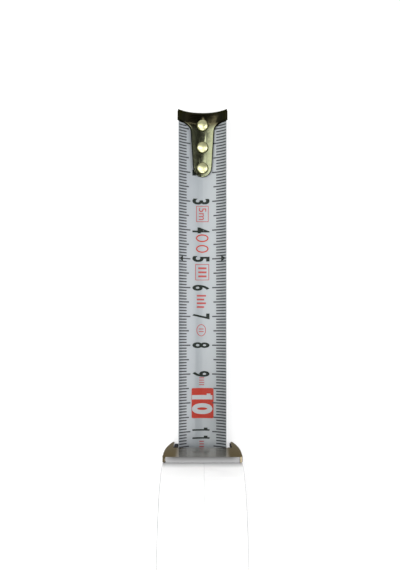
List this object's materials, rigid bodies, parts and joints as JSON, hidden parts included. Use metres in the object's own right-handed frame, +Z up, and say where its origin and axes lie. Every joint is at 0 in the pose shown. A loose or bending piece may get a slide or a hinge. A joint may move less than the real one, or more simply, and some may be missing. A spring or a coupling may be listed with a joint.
{
  "type": "tape measure",
  "caption": "Pocket tape measure with a cross-curved steel blade drawn out of a rounded case, a riveted end hook, a thumb lock and a belt clip.",
  "frame": {"origin": "on the flat base that the case stands on, straight below the spool's axle and midway between the case's sides", "axes": "+Y along the blade as it leaves the mouth, +Z up, +X across the blade towards the belt clip"},
  "size_m": [0.032, 0.1796, 0.0637],
  "materials": {
    "pearl_shell": "pearl white moulded shell",
    "bronze_chrome": "bronze-tinted chrome plate",
    "blade_lacquer": "pale grey lacquered steel",
    "spring_steel": "plain spring steel",
    "polished_hook": "polished, slightly brassy plating",
    "rivet_brass": "pale brass",
    "zinc_screw": "zinc-plated",
    "grey_nylon": "moulded nylon",
    "soft_rubber": "matt",
    "disc_silver": "satin"
  },
  "bodies": {
    "case": {"case_left": "pearl_shell", "case_right": "pearl_shell", "nose_plate": "bronze_chrome", "blade_guide": "grey_nylon", "hook_bumper": "soft_rubber", "spring_arbor": "zinc_screw", "power_spring": "spring_steel", "case_screw_front_low": "zinc_screw", "case_screw_front_high": "zinc_screw", "case_screw_rear_high": "zinc_screw", "case_screw_rear_low": "zinc_screw", "brake_pin": "zinc_screw", "side_disc_left": "disc_silver", "side_disc_right": "disc_silver", "rear_grip": "soft_rubber", "belt_clip": "spring_steel", "clip_screw": "zinc_screw"},
    "spool": {"spool_drum": "grey_nylon", "spool_cover": "grey_nylon", "blade_coil": "blade_lacquer"},
    "tape_end": {"blade": "blade_lacquer", "hook_rivet_1": "rivet_brass", "hook_rivet_2": "rivet_brass", "hook_rivet_3": "rivet_brass"},
    "hook": {"hook": "polished_hook"},
    "lock": {"lock_button": "grey_nylon"},
    "brake": {"brake_arm": "grey_nylon", "brake_pad": "soft_rubber"}
  },
  "joints": [
    {"name": "blade_slide", "type": "slide", "parent": "case", "child": "tape_end", "axis": [0, 1, 0], "range_m": [-0.114, 0], "deforming": ["blade"]},
    {"name": "spool_spin", "type": "hinge", "parent": "case", "child": "spool", "pos_m": [0, 0, 0.031], "axis": [1, 0, 0], "range_deg": [-310, 0]},
    {"name": "hook_play", "type": "slide", "parent": "tape_end", "child": "hook", "axis": [0, 1, 0], "range_m": [-0.0008, 0]},
    {"name": "lock_slide", "type": "hinge", "parent": "case", "child": "lock", "pos_m": [0, 0, 0.031], "axis": [1, 0, 0], "range_deg": [0, 9]},
    {"name": "brake_swing", "type": "hinge", "parent": "case", "child": "brake", "pos_m": [0, -0.01551, 0.05086], "axis": [1, 0, 0], "range_deg": [0, 3]}
  ],
  "couplings": [
    {"joint": "spool_spin", "follows": "blade_slide", "rad_per_m": 46.948},
    {"joint": "brake_swing", "follows": "lock_slide", "ratio": 0.3333}
  ]
}
